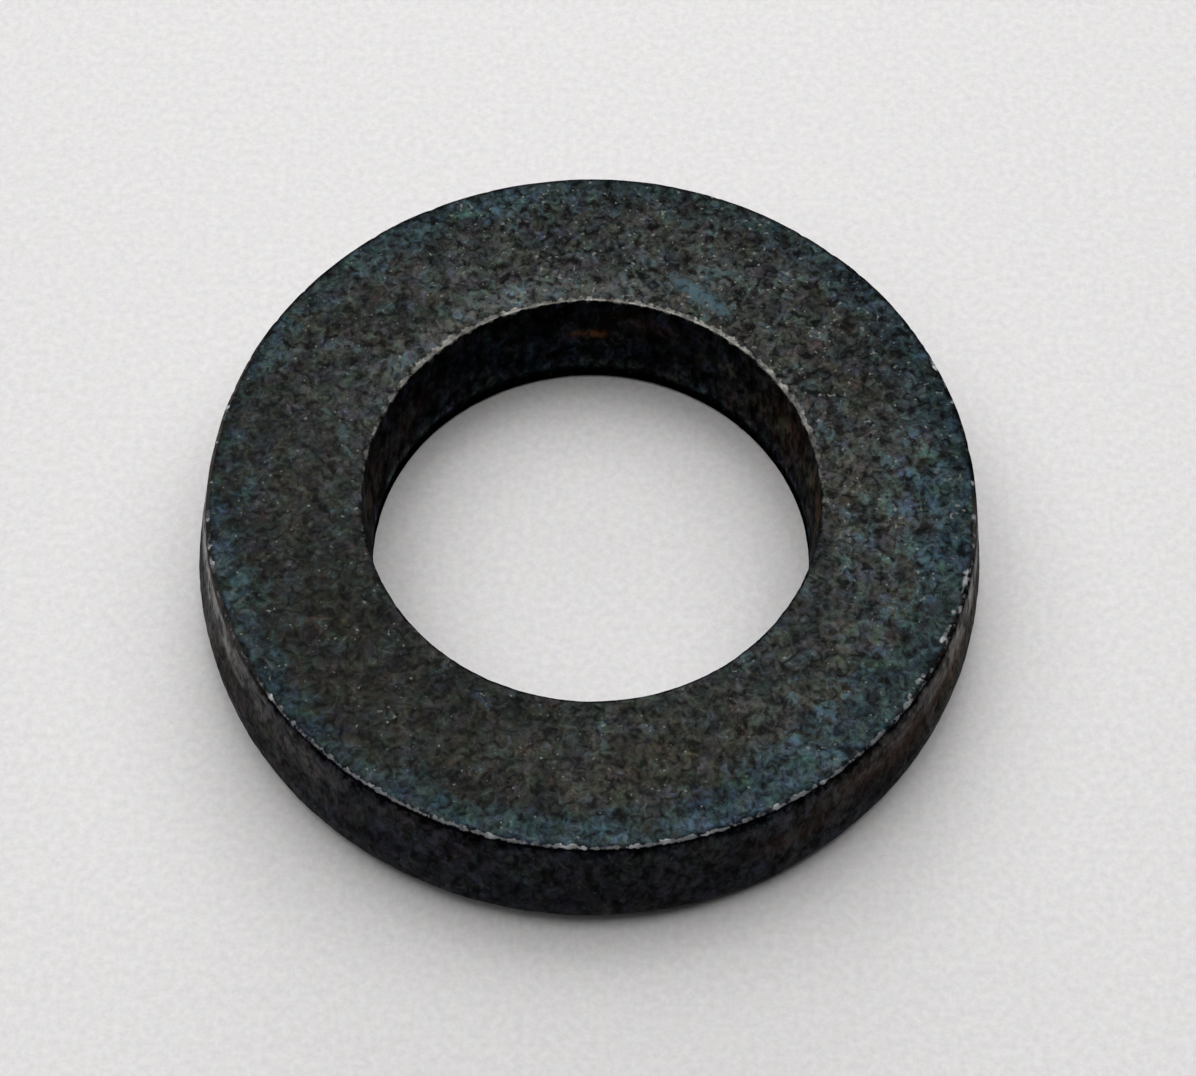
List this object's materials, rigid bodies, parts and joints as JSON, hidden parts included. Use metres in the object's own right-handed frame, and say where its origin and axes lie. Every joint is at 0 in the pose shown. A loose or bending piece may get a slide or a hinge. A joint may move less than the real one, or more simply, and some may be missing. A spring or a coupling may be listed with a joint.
{
  "type": "flat washer",
  "caption": "Extra-thick flat washer: a plain blanked steel ring with a black oxide skin, a rolled lower edge and a worn upper edge.",
  "frame": {"origin": "centre of the hole, level with the lower bearing face, the one that lies on the surface", "axes": "+Z along the axis of the hole, from the lower bearing face to the upper one; X and Y are free, because the part is a body of revolution"},
  "size_m": [0.03, 0.03, 0.0055],
  "materials": {
    "black_oxide_steel": "black oxide on hardened steel, satin, mottled brown-grey to blue, with bare worn edges"
  },
  "bodies": {
    "root": {"washer": "black_oxide_steel"}
  },
  "joints": []
}
